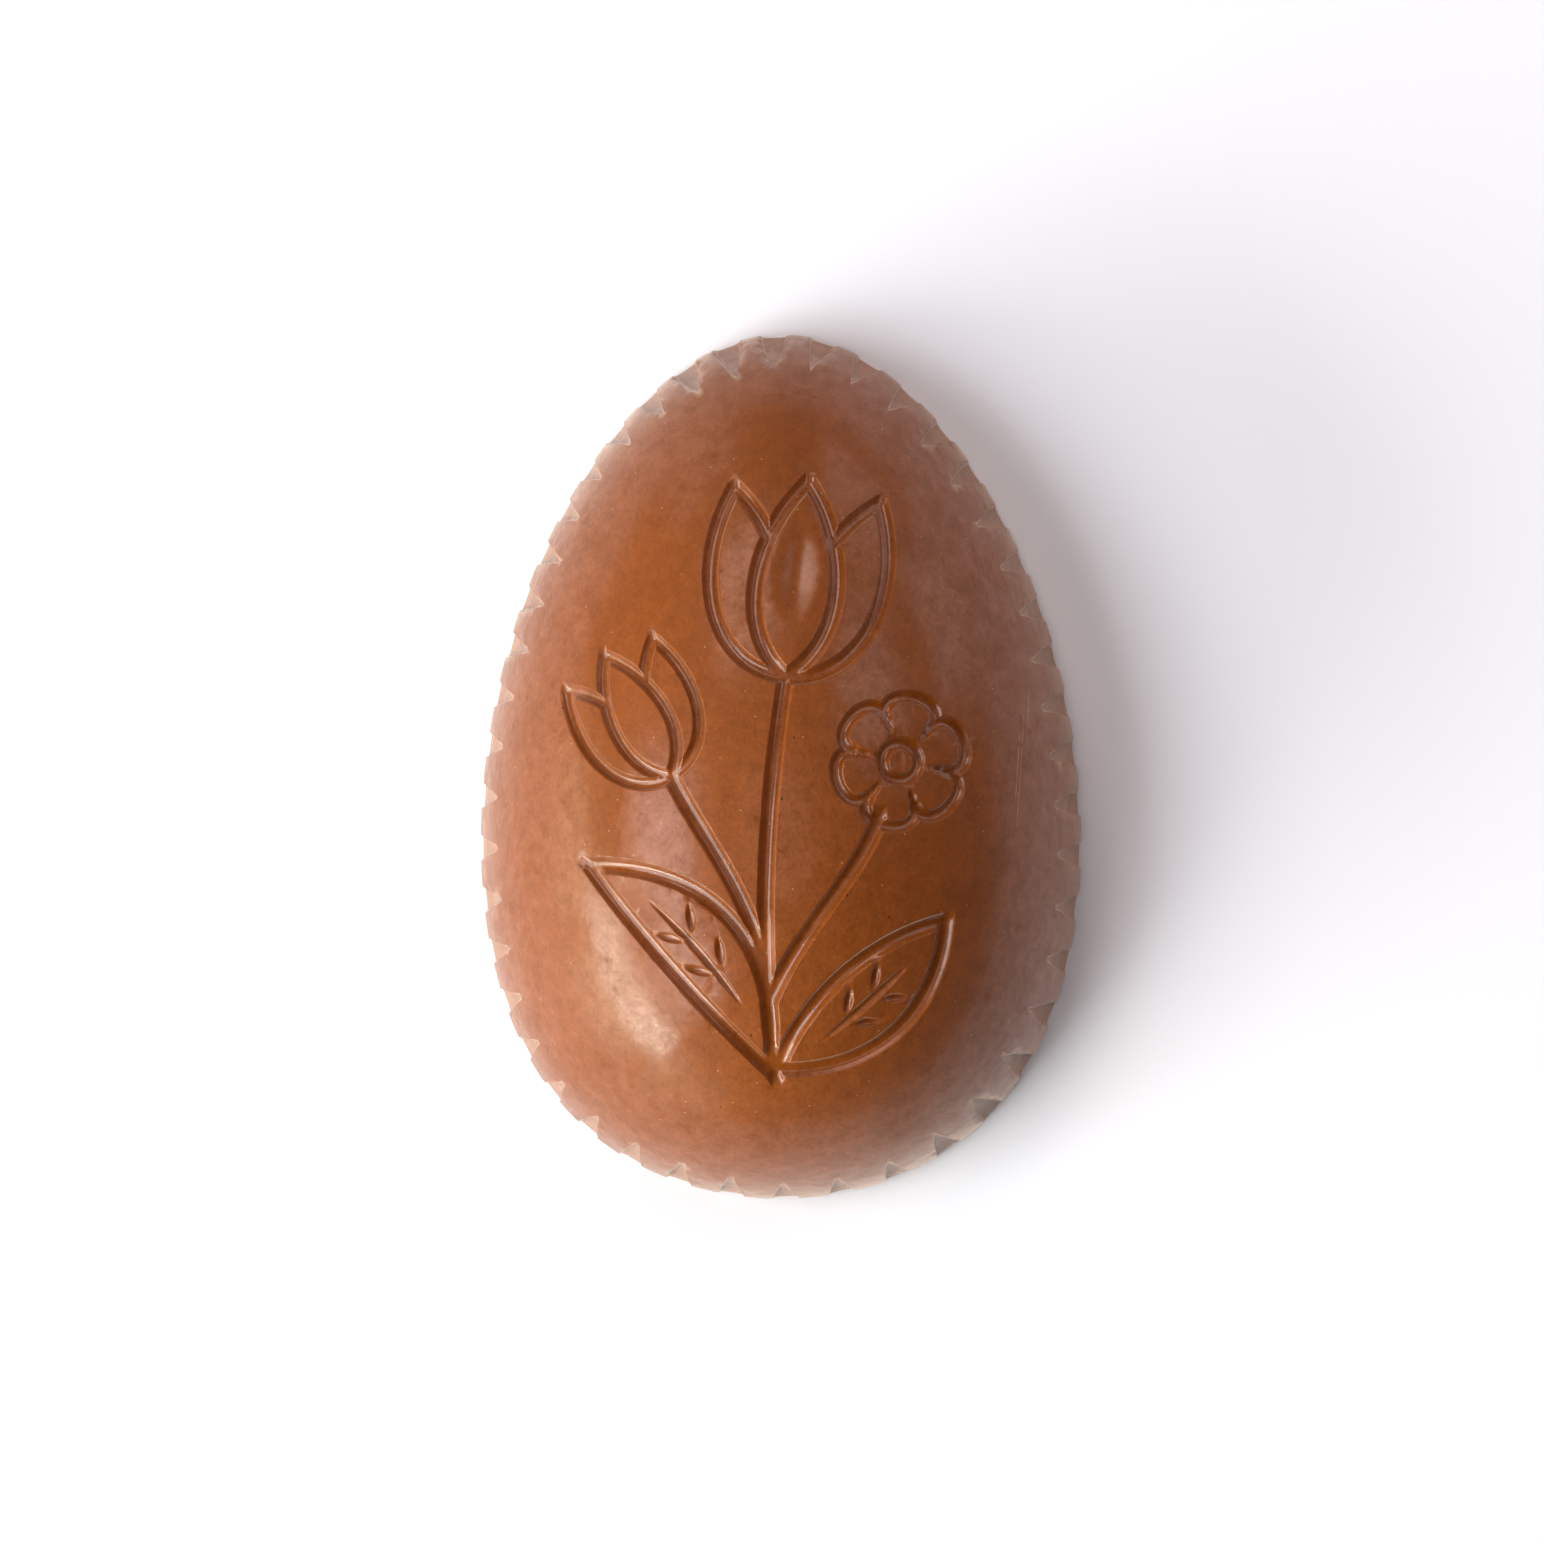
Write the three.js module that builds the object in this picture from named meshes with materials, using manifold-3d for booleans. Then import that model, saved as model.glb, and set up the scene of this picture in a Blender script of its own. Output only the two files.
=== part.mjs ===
// Half of a moulded milk chocolate egg, solid, lying on its flat back with the engraved side up.
// Millimetres, +Z up, narrow end towards +Y, origin in the middle of the flat back.
//
// The egg is a body of revolution about its long axis, cut in half lengthwise. Forty-five flat
// facets are let into the foot of its wall, and a spray of spring flowers is engraved on top.

import * as THREE from 'three';
import { mergeVertices } from 'three/addons/utils/BufferGeometryUtils.js';
import Module from 'manifold-3d';

const wasm = await Module();
wasm.setup();

// ---- Driving dimensions -------------------------------------------------------------------

const EGG_LENGTH = 90;
const HALF_LENGTH = EGG_LENGTH / 2;
// Half width over half length of a round ball, as a polynomial of y / HALF_LENGTH: a ball
// squeezed to these shares is the egg, 62.6 mm wide and 31.3 mm high.
const GIRTH = [0.685, -0.110, 0.040, -0.038];
const LENGTH_STEPS = 48;
const ROUND_STEPS = 60;

const NOTCH_COUNT = 45;
const NOTCH_WIDTH = 3.0; // along the rim, at the foot
const NOTCH_SWELL = { height: 0.6, width: 0.6 }; // the sides' middle corner, as shares of the whole
const NOTCH_DEPTH = 0.18; // how far the foot of a facet lies behind the rim
const NOTCH_HEIGHT = 12.6; // up the wall to the point, at the sides and the broad end
const NOTCH_HEIGHT_AT_TIP = 10.6; // the same, at the narrow end
const NOTCH_PHASE = 0.62; // the first notch, measured along the rim from the narrow tip
// The notches stand closer together on the egg's shoulders than at its ends. Each wave moves them
// along the rim by up to its size, comes so many times round the egg, and starts at its turn.
const NOTCH_WAVES = [
  { size: 2.68, times: 1, turn: -2.79 },
  { size: 0.38, times: 2, turn: 0.46 },
  { size: 0.51, times: 3, turn: -1.33 },
];

const LINE_RADIUS = 0.83; // half the width of a main engraved line
const FINE_RADIUS = 0.66; // half the width of a line in the small flowers
const VEIN_RADIUS = 0.46; // half the width of a short stroke inside a petal or leaf
const LINE_DEPTH_SHARE = 0.9; // depth of a line over its half width
const LINE_STEP = 2.2; // length of one straight step of an engraved line
const LINE_SIDES = 6;

const BIG_TULIP = { x: 1.5, y: 9, lean: 6, size: 20 };
const SMALL_TULIP = { x: -10, y: -1, lean: -30, size: 14 };
const DAISY = { x: 13, y: 0.5, radius: 5.9, petals: 6, turn: 12, eye: 1.8 };
const DISH = { length: 11, width: 4.2, depth: 0.5, along: 0.52 }; // soft hollow in a petal
const STEMS = [
  [[1.5, 9], [0.2, 0], [-1.5, -14], [0.4, -31.5]],
  [[-10, -1], [-7.5, -6], [-2.5, -12], [-0.8, -19]],
  [[10.9, -5], [9, -11], [3, -16], [-0.3, -24]],
];
const LEAVES = [
  { foot: [-0.2, -30.5], tip: [-18.5, -10], bow: -4.5, spread: 5.2 },
  { foot: [0.6, -30.5], tip: [17.5, -15.5], bow: -1.5, spread: 5.2 },
];
// Short strokes on both sides of a leaf's middle vein: where along the leaf they start, how far
// they rise towards its tip as a share of its length, and how far out they reach.
const SIDE_VEINS = { shares: [0.36, 0.52], rise: 0.13, reach: 2.3 };

// ---- Solids from three.js geometry --------------------------------------------------------

function solidFrom(geometry) {
  const bare = geometry.clone();
  bare.deleteAttribute('normal');
  bare.deleteAttribute('uv');
  const merged = mergeVertices(bare, 1e-4);
  const corners = merged.index.array;
  const kept = [];
  for (let i = 0; i < corners.length; i += 3) {
    const [a, b, c] = corners.slice(i, i + 3);
    if (a !== b && b !== c && c !== a) {
      kept.push(a, b, c);
    }
  }
  const mesh = new wasm.Mesh({
    numProp: 3,
    vertProperties: new Float32Array(merged.attributes.position.array),
    triVerts: new Uint32Array(kept),
  });
  return new wasm.Manifold(mesh);
}

function geometryFrom(solid) {
  const { vertProperties, triVerts } = solid.getMesh();
  const geometry = new THREE.BufferGeometry();
  geometry.setAttribute('position', new THREE.BufferAttribute(vertProperties, 3));
  geometry.setIndex(new THREE.BufferAttribute(triVerts, 1));
  return geometry;
}

// ---- The egg's form -----------------------------------------------------------------------

function girthAt(share) {
  return GIRTH.reduce((sum, factor, power) => sum + factor * share ** power, 0);
}

function radiusAt(y) {
  const share = y / HALF_LENGTH;
  return HALF_LENGTH * girthAt(share) * Math.sqrt(Math.max(0, 1 - share * share));
}

function heightAt(x, y) {
  const radius = radiusAt(y);
  return Math.sqrt(Math.max(0, radius * radius - x * x));
}

function normalAt(x, y) {
  const reach = 0.05;
  const dx = (heightAt(x + reach, y) - heightAt(x - reach, y)) / (2 * reach);
  const dy = (heightAt(x, y + reach) - heightAt(x, y - reach)) / (2 * reach);
  return new THREE.Vector3(-dx, -dy, 1).normalize();
}

function wholeEgg() {
  const profile = [];
  for (let i = 0; i <= LENGTH_STEPS; i += 1) {
    const share = -Math.cos((i / LENGTH_STEPS) * Math.PI);
    profile.push(new THREE.Vector2(radiusAt(share * HALF_LENGTH), share * HALF_LENGTH));
  }
  return solidFrom(new THREE.LatheGeometry(profile, ROUND_STEPS));
}

function upperSpace() {
  const side = EGG_LENGTH * 1.5;
  const box = new THREE.BoxGeometry(side, side, side);
  box.translate(0, 0, side / 2);
  return solidFrom(box);
}

// ---- The facets round the rim -------------------------------------------------------------

// The rim seen from above, clockwise from the narrow tip, and closed.
function rimCurve() {
  const points = [];
  const stops = 180;
  for (let i = 0; i < stops; i += 1) {
    const turn = (i / stops) * 2 * Math.PI;
    const share = Math.cos(turn);
    const halfWidth = HALF_LENGTH * girthAt(share) * Math.sin(turn);
    points.push(new THREE.Vector3(halfWidth, share * HALF_LENGTH, 0));
  }
  return new THREE.CatmullRomCurve3(points, true);
}

function notchHeightAt(y) {
  const share = y / HALF_LENGTH;
  const nearTip = THREE.MathUtils.smoothstep(share, 0.2, 1);
  return THREE.MathUtils.lerp(NOTCH_HEIGHT, NOTCH_HEIGHT_AT_TIP, nearTip);
}

// One cutter: an upright triangle with swelling sides, pushed inwards through the wall and leaning
// with it, so that its flat end meets the wall again at the triangle's point.
function notchCutter(rim, length, index) {
  const around = (index / NOTCH_COUNT) * 2 * Math.PI;
  const shifts = NOTCH_WAVES.map(({ size, times, turn }) => size * Math.sin(times * around + turn));
  const drift = shifts.reduce((sum, shift) => sum + shift, 0);
  const run = NOTCH_PHASE + drift + (index * length) / NOTCH_COUNT;
  const place = THREE.MathUtils.euclideanModulo(run / length, 1);
  const foot = rim.getPointAt(place);
  const along = rim.getTangentAt(place);
  const inwards = new THREE.Vector3(along.y, -along.x, 0);

  const height = notchHeightAt(foot.y);
  const wallRadius = Math.abs(foot.x / inwards.x);
  const inset = wallRadius - Math.sqrt(wallRadius ** 2 - height ** 2);
  const lean = (inset - NOTCH_DEPTH) / height;

  const below = 1;
  const outside = 4;
  const footHalf = NOTCH_WIDTH / 2;
  const swellHalf = footHalf * NOTCH_SWELL.width;
  const swellHeight = height * NOTCH_SWELL.height;
  const triangle = new THREE.Shape();
  triangle.moveTo(-footHalf, -below);
  triangle.lineTo(footHalf, -below);
  triangle.lineTo(footHalf, 0);
  triangle.lineTo(swellHalf, swellHeight);
  triangle.lineTo(0, height);
  triangle.lineTo(-swellHalf, swellHeight);
  triangle.lineTo(-footHalf, 0);
  triangle.closePath();
  const cutter = new THREE.ExtrudeGeometry(triangle, { depth: outside, bevelEnabled: false });
  cutter.translate(0, 0, -outside + NOTCH_DEPTH);

  const upright = new THREE.Vector3(0, 0, 1).addScaledVector(inwards, lean);
  const placing = new THREE.Matrix4().makeBasis(along, upright, inwards);
  placing.setPosition(foot);
  cutter.applyMatrix4(placing);
  return solidFrom(cutter);
}

function notches() {
  const rim = rimCurve();
  const length = rim.getLength();
  let all = notchCutter(rim, length, 0);
  for (let i = 1; i < NOTCH_COUNT; i += 1) {
    all = all.add(notchCutter(rim, length, i));
  }
  return all;
}

// ---- The engraved spring flowers ----------------------------------------------------------

// Gives the plan point at (u, v) of a small drawing that is placed, leaned clockwise and scaled.
function drawingAt({ x, y, lean, size }) {
  const turn = THREE.MathUtils.degToRad(-lean);
  const middle = new THREE.Vector2(x, y);
  return (u, v) => new THREE.Vector2(x + u * size, y + v * size).rotateAround(middle, turn);
}

function line(at, start, pull, push, end, radius) {
  const corners = [start, pull, push, end].map(([u, v]) => at(u, v));
  return { curve: new THREE.CubicBezierCurve(...corners), radius };
}

function tulip(place, radius) {
  const lines = [];
  for (const side of [-1, 1]) {
    const drawing = drawingAt(place);
    const at = (u, v) => drawing(side * 0.86 * u, v);
    lines.push(line(at, [0, 0], [0.36, 0.22], [0.27, 0.72], [0, 1], radius));
    lines.push(line(at, [0, 0], [0.46, 0], [0.64, 0.5], [0.43, 0.93], radius));
    lines.push(line(at, [0.43, 0.93], [0.34, 0.87], [0.25, 0.79], [0.19, 0.69], radius));
  }
  return lines;
}

function leaf({ foot, tip, bow, spread }) {
  const start = new THREE.Vector2(...foot);
  const along = new THREE.Vector2(...tip).sub(start);
  const across = new THREE.Vector2(-along.y, along.x).normalize();
  const at = (share, off) => start.clone().addScaledVector(along, share).addScaledVector(across, off);
  const lines = [];
  for (const side of [-1, 1]) {
    const out = bow + side * spread;
    lines.push(line(at, [0, 0], [0.3, out], [0.7, out], [1, 0], LINE_RADIUS));
  }
  const vein = bow * 0.65;
  lines.push(line(at, [0.24, vein * 0.8], [0.4, vein], [0.6, vein], [0.76, vein * 0.8], VEIN_RADIUS));
  for (const share of SIDE_VEINS.shares) {
    for (const side of [-1, 1]) {
      const stops = [0.3, 0.5, 0.75, 1].map((stop) => [
        share + SIDE_VEINS.rise * stop,
        vein + side * SIDE_VEINS.reach * stop,
      ]);
      lines.push(line(at, ...stops, VEIN_RADIUS));
    }
  }
  return lines;
}

function daisy({ x, y, radius, petals, turn, eye }) {
  const lines = [];
  for (let i = 0; i < petals; i += 1) {
    const lean = turn + (i * 360) / petals;
    const at = drawingAt({ x, y, lean, size: radius });
    const half = Math.PI / petals;
    const dip = [Math.sin(half) * 0.8, Math.cos(half) * 0.8];
    const swell = [Math.sin(half) * 1.25, Math.cos(half) * 1.45];
    lines.push(line(at, [-dip[0], dip[1]], [-swell[0], swell[1]], swell, dip, FINE_RADIUS));
    lines.push(line(at, dip, [dip[0] * 0.9, dip[1] * 0.9], [dip[0] * 0.75, dip[1] * 0.75],
      [dip[0] * 0.62, dip[1] * 0.62], VEIN_RADIUS));
  }
  for (const side of [-1, 1]) {
    const at = drawingAt({ x, y, lean: 0, size: eye });
    lines.push(line(at, [0, -1], [side * 1.33, -1], [side * 1.33, 1], [0, 1], FINE_RADIUS));
  }
  return lines;
}

function engravedLines() {
  const onPlan = (x, y) => new THREE.Vector2(x, y);
  return [
    ...tulip(BIG_TULIP, LINE_RADIUS),
    ...tulip(SMALL_TULIP, FINE_RADIUS),
    ...daisy(DAISY),
    ...STEMS.map((corners) => line(onPlan, ...corners, LINE_RADIUS)),
    ...LEAVES.flatMap(leaf),
  ];
}

function roundSection(radius) {
  const corners = [];
  for (let i = 0; i < LINE_SIDES; i += 1) {
    const turn = ((i + 0.5) / LINE_SIDES) * 2 * Math.PI;
    corners.push(new THREE.Vector2(radius * Math.cos(turn), radius * Math.sin(turn)));
  }
  return new THREE.Shape(corners);
}

// A round rod bent along the line on the egg's surface, sunk in it to the line's depth.
function lineCutter({ curve, radius }) {
  const steps = Math.max(2, Math.ceil(curve.getLength() / LINE_STEP));
  const rise = radius * (1 - LINE_DEPTH_SHARE);
  const route = curve.getSpacedPoints(steps).map(
    ({ x, y }) => new THREE.Vector3(x, y, heightAt(x, y)).addScaledVector(normalAt(x, y), rise),
  );
  const extrudePath = new THREE.CatmullRomCurve3(route);
  const rod = new THREE.ExtrudeGeometry(roundSection(radius), { steps, extrudePath });
  return solidFrom(rod);
}

// A flattened ball that leaves a soft hollow in the big tulip's middle petal.
function dishCutter() {
  const { x, y } = drawingAt(BIG_TULIP)(0, DISH.along);
  const out = normalAt(x, y);
  const ball = new THREE.SphereGeometry(1, 20, 14);
  ball.scale(DISH.width / 2, DISH.length / 2, DISH.depth);
  ball.rotateZ(THREE.MathUtils.degToRad(-BIG_TULIP.lean));
  const tilt = new THREE.Quaternion().setFromUnitVectors(new THREE.Vector3(0, 0, 1), out);
  ball.applyQuaternion(tilt);
  ball.translate(x, y, heightAt(x, y));
  return solidFrom(ball);
}

function engraving() {
  return engravedLines().reduce((all, entry) => all.add(lineCutter(entry)), dishCutter());
}

// ---- The part -----------------------------------------------------------------------------

const eggHalf = wholeEgg().intersect(upperSpace()).subtract(notches()).subtract(engraving());

const milkChocolate = new THREE.MeshStandardMaterial({
  name: 'milk_chocolate',
  color: 0x7a4228,
  roughness: 0.38,
  metalness: 0,
});

const chocolateEgg = new THREE.Mesh(geometryFrom(eggHalf), milkChocolate);
chocolateEgg.name = 'chocolate_egg_half';

const group = new THREE.Group();
group.name = 'chocolate_egg';
group.add(chocolateEgg);

export default group;
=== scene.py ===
import math

import bpy
import numpy as np
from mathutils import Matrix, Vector
from mathutils.geometry import delaunay_2d_cdt
from mathutils.kdtree import KDTree


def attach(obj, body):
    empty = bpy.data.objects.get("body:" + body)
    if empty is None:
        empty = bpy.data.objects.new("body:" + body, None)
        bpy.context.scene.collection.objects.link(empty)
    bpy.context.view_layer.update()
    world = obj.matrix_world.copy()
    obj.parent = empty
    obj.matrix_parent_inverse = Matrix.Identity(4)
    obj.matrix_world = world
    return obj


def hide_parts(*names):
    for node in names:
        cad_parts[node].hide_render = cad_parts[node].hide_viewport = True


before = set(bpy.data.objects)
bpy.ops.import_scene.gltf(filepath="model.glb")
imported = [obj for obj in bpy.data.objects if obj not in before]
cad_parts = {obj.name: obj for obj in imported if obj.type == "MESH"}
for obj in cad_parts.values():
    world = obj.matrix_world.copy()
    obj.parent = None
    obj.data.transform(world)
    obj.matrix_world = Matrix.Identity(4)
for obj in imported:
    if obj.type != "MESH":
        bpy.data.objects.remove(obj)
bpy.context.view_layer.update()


# ---- The blank: the moulded form before its lines and facets --------------------------------
# The egg is one piece of tempered milk chocolate, cast in a polished half-egg mould and turned
# out onto its flat back. Its form is a ball squeezed to a girth that changes along its length.
# The blank is that ball and its flat back, with close rows of corners where relief will be.

MM = 0.001
EGG_NODE = "chocolate_egg_half"
HALF_LENGTH = 45 * MM
GIRTH = (0.685, -0.110, 0.040, -0.038)
QUARTER_TURN = math.pi / 2
TINY = 1e-9  # keeps a length that is divided by off nought

NOTCH_COUNT = 45
NOTCH_WIDTH = 2.4 * MM
NOTCH_BOW = 1.8  # how the sides swell: 1 is a plain triangle
NOTCH_DEPTH = 0.13 * MM
NOTCH_HEIGHT = 12.6 * MM
NOTCH_HEIGHT_AT_TIP = 10.6 * MM
NOTCH_PHASE = 0.62 * MM
# what moves the facets off their even places: how far, how many times round the egg, from where
NOTCH_WAVES = ((2.68 * MM, 1, -2.79), (0.38 * MM, 2, 0.46), (0.51 * MM, 3, -1.33))
NOTCH_SHOULDER_HEIGHT = 4.5 * MM
NOTCH_SHOULDER_SPREAD = 3.0
TIP_START = 0.2  # the share of the half length past which the facets get shorter

# how far apart the blank's corners stand: on the back, along the rim, on open skin, in relief
BACK_SPACING = 3.0 * MM
RIM_SPACING = 0.22 * MM
OPEN_SPACING = 0.95 * MM
ROW_SPACING = 0.26 * MM
FACET_ROW_SPACING = 1.3 * ROW_SPACING
RIM_ROW_HEIGHTS = [h * MM for h in (0.12, 0.3, 0.6, 1.1, 1.8, 2.7, 3.8, 5.0, 6.3, 7.7)]
# rows beside a facet's edge, negative outside it, and rows beside a line, in the line's radii
FACET_EDGE_ROWS = [o * MM for o in (-0.38, -0.27, -0.17, -0.08, 0.0, 0.07, 0.16)]
LINE_ROWS = (0, 0.35, 0.6, 0.76, 0.87, 0.95, 1.02, 1.09, 1.18, 1.34)


def girth(share):
    return sum(factor * share**power for power, factor in enumerate(GIRTH))


def wall_radius(y):
    share = np.clip(y / HALF_LENGTH, -1, 1)
    return HALF_LENGTH * girth(share) * np.sqrt(1 - share**2)


def lift_to_ball(points):
    """Places on the egg's skin, as places on a ball of radius 1."""
    share = points[:, 1] / HALF_LENGTH
    squeeze = HALF_LENGTH * girth(share)
    ball = np.stack([points[:, 0] / squeeze, share, np.maximum(points[:, 2] / squeeze, 0)], axis=1)
    return ball / np.linalg.norm(ball, axis=1, keepdims=True)


def ball_to_disc(ball):
    """Unrolls the upper half ball from its top onto a flat disc of radius 1."""
    flat = np.linalg.norm(ball[:, :2], axis=1)
    reach = np.arctan2(flat, ball[:, 2]) / QUARTER_TURN
    return ball[:, :2] * (reach / np.maximum(flat, TINY))[:, None]


def disc_to_ball(disc):
    reach = np.linalg.norm(disc, axis=1)
    turn = np.minimum(reach, 1) * QUARTER_TURN
    spread = np.sin(turn) / np.maximum(reach, TINY)
    return np.stack([disc[:, 0] * spread, disc[:, 1] * spread, np.cos(turn)], axis=1)


def plan_to_disc(plan):
    """Places seen from straight above, on the disc."""
    height = np.sqrt(np.maximum(wall_radius(plan[:, 1]) ** 2 - plan[:, 0] ** 2, 0))
    return ball_to_disc(lift_to_ball(np.column_stack([plan, height])))


# The engraving: a spray of spring flowers, drawn on the plan with curves of four corners each.

LINE_RADIUS = 0.83 * MM
FINE_RADIUS = 0.66 * MM
VEIN_RADIUS = 0.46 * MM
BIG_TULIP = {"x": 1.5, "y": 9, "lean": 6, "size": 20}
SMALL_TULIP = {"x": -10, "y": -1, "lean": -30, "size": 14}
TULIP_SLIMNESS = 0.86
DAISY = {"x": 13, "y": 0.5, "radius": 5.9, "petals": 6, "turn": 12, "eye": 1.8}
HALF_CIRCLE_PULL = 1.33  # how far out, in radii, a half circle's curve is pulled
DISH = {"length": 11, "width": 4.2, "depth": 0.5, "along": 0.52}
STEMS = (
    ((1.5, 9), (0.2, 0), (-1.5, -14), (0.4, -31.5)),
    ((-10, -1), (-7.5, -6), (-2.5, -12), (-0.8, -19)),
    ((10.9, -5), (9, -11), (3, -16), (-0.3, -24)),
)
LEAVES = (
    {"foot": (-0.2, -30.5), "tip": (-18.5, -10), "bow": -4.5, "spread": 5.2},
    {"foot": (0.6, -30.5), "tip": (17.5, -15.5), "bow": -1.5, "spread": 5.2},
)
VEIN_BOW = 0.65  # of the bow of the leaf
SIDE_VEINS = {"shares": (0.36, 0.52), "stops": (0.3, 0.5, 0.75, 1), "rise": 0.13, "reach": 2.3}
main_lines, fine_lines, vein_lines = [], [], []


def drawing_at(place):
    """Gives the plan place of (u, v) in a small drawing that is placed, leaned clockwise and scaled."""
    turn = math.radians(-place["lean"])
    across = np.array([math.cos(turn), math.sin(turn)]) * place["size"]
    up = np.array([-math.sin(turn), math.cos(turn)]) * place["size"]
    return lambda u, v: np.array([place["x"], place["y"]]) + u * across + v * up


def add_line(lines, at, *corners):
    lines.append([at(*corner) * MM for corner in corners])


def add_tulip(lines, place):
    drawing = drawing_at(place)
    for side in (-TULIP_SLIMNESS, TULIP_SLIMNESS):
        def at(u, v, side=side):
            return drawing(side * u, v)
        add_line(lines, at, (0, 0), (0.36, 0.22), (0.27, 0.72), (0, 1))
        add_line(lines, at, (0, 0), (0.46, 0), (0.64, 0.5), (0.43, 0.93))
        add_line(lines, at, (0.43, 0.93), (0.34, 0.87), (0.25, 0.79), (0.19, 0.69))


def add_leaf(leaf):
    start = np.array(leaf["foot"], float)
    along = np.array(leaf["tip"], float) - start
    across = np.array([-along[1], along[0]]) / np.hypot(*along)

    def at(share, off):
        return start + share * along + off * across

    for side in (-1, 1):
        out = leaf["bow"] + side * leaf["spread"]
        add_line(main_lines, at, (0, 0), (0.3, out), (0.7, out), (1, 0))
    vein = leaf["bow"] * VEIN_BOW
    add_line(vein_lines, at, (0.24, vein * 0.8), (0.4, vein), (0.6, vein), (0.76, vein * 0.8))
    for share in SIDE_VEINS["shares"]:
        for side in (-1, 1):
            reach = side * SIDE_VEINS["reach"]
            add_line(vein_lines, at, *[(share + SIDE_VEINS["rise"] * stop, vein + reach * stop)
                                       for stop in SIDE_VEINS["stops"]])


def add_daisy(daisy):
    half = math.pi / daisy["petals"]
    dip = (math.sin(half) * 0.8, math.cos(half) * 0.8)
    swell = (math.sin(half) * 1.25, math.cos(half) * 1.45)
    for petal in range(daisy["petals"]):
        lean = daisy["turn"] + petal * 360 / daisy["petals"]
        at = drawing_at({"x": daisy["x"], "y": daisy["y"], "lean": lean, "size": daisy["radius"]})
        add_line(fine_lines, at, (-dip[0], dip[1]), (-swell[0], swell[1]), swell, dip)
        add_line(vein_lines, at, *[(dip[0] * share, dip[1] * share) for share in (1, 0.9, 0.75, 0.62)])
    at = drawing_at({"x": daisy["x"], "y": daisy["y"], "lean": 0, "size": daisy["eye"]})
    for side in (-HALF_CIRCLE_PULL, HALF_CIRCLE_PULL):
        add_line(fine_lines, at, (0, -1), (side, -1), (side, 1), (0, 1))


add_tulip(main_lines, BIG_TULIP)
add_tulip(fine_lines, SMALL_TULIP)
add_daisy(DAISY)
for stem in STEMS:
    add_line(main_lines, lambda x, y: np.array([x, y], float), *stem)
for one_leaf in LEAVES:
    add_leaf(one_leaf)


def rows_along(corners, radius):
    """Rows of plan places on and beside a line: (line's own stations, places, distance off the line)."""
    start, pull, push, end = corners
    rough = sum(np.hypot(*(b - a)) for a, b in zip(corners, corners[1:]))
    share = np.linspace(0, 1, max(4, round(rough / ROW_SPACING)))[:, None]
    rest = 1 - share
    line = rest**3 * start + 3 * rest**2 * share * pull + 3 * rest * share**2 * push + share**3 * end
    step = np.gradient(line, axis=0)
    across = np.column_stack([-step[:, 1], step[:, 0]]) / np.hypot(*step.T)[:, None]
    offsets = np.array(LINE_ROWS) * radius
    offsets = np.concatenate([-offsets[:0:-1], offsets])
    places = line[:, None, :] + across[:, None, :] * offsets[None, :, None]
    off = np.broadcast_to(np.abs(offsets), places.shape[:2])
    return line, places.reshape(-1, 2), off.reshape(-1)


def finder(places):
    """A tree that finds the nearest of some flat places, known by their order."""
    tree = KDTree(len(places))
    for number, (x, y) in enumerate(places):
        tree.insert((x, y, 0), number)
    tree.balance()
    return tree


def engraving_places():
    """Rows beside all lines, each row kept only where no other line comes nearer."""
    rows = [rows_along(corners, LINE_RADIUS) for corners in main_lines]
    rows += [rows_along(corners, FINE_RADIUS) for corners in fine_lines]
    rows += [rows_along(corners, VEIN_RADIUS) for corners in vein_lines]
    stations = finder(np.concatenate([line for line, _, _ in rows]))
    allowance = 0.3 * ROW_SPACING
    kept = []
    for _, places, off in rows:
        for (x, y), distance in zip(places, off):
            if stations.find((x, y, 0))[2] > distance - allowance:
                kept.append((x, y))
    return np.array(kept)


# The rim, measured clockwise from the narrow tip, and the wall that stands on it.

RIM_STATIONS = 7200
LOOK_AHEAD = 0.05 * MM

rim_turn = np.linspace(0, 2 * math.pi, RIM_STATIONS + 1)
rim_closed = HALF_LENGTH * np.column_stack([girth(np.cos(rim_turn)) * np.sin(rim_turn), np.cos(rim_turn)])
rim_run = np.concatenate([[0], np.cumsum(np.hypot(*np.diff(rim_closed, axis=0).T))])
RIM_LENGTH = rim_run[-1]


def rim_at(run):
    return np.column_stack([np.interp(run, rim_run, rim_closed[:, axis]) for axis in (0, 1)])


def rim_place(run):
    """(place, direction inwards) at a length along the rim."""
    run = np.asarray(run) % RIM_LENGTH
    place = rim_at(run)
    along = rim_at((run + LOOK_AHEAD) % RIM_LENGTH) - place
    along /= np.hypot(*along.T)[:, None]
    return place, np.column_stack([along[:, 1], -along[:, 0]])


def wall_places(run, height):
    """Places on the wall at a height above the rim."""
    place, inwards = rim_place(run)
    round_radius = np.abs(place[:, 0]) / np.maximum(np.abs(inwards[:, 0]), 1e-6)
    inset = round_radius - np.sqrt(np.maximum(round_radius**2 - height**2, 0))
    return np.column_stack([place + inwards * inset[:, None], height])


def wall_rows():
    """Rows round the whole wall, with places further apart the higher a row is."""
    spacing_per_height = 0.8
    groups = []
    for height in RIM_ROW_HEIGHTS:
        run = np.arange(0, RIM_LENGTH, max(RIM_SPACING, spacing_per_height * height))
        groups.append(wall_places(run, np.full(len(run), height)))
    return np.concatenate(groups)


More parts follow.
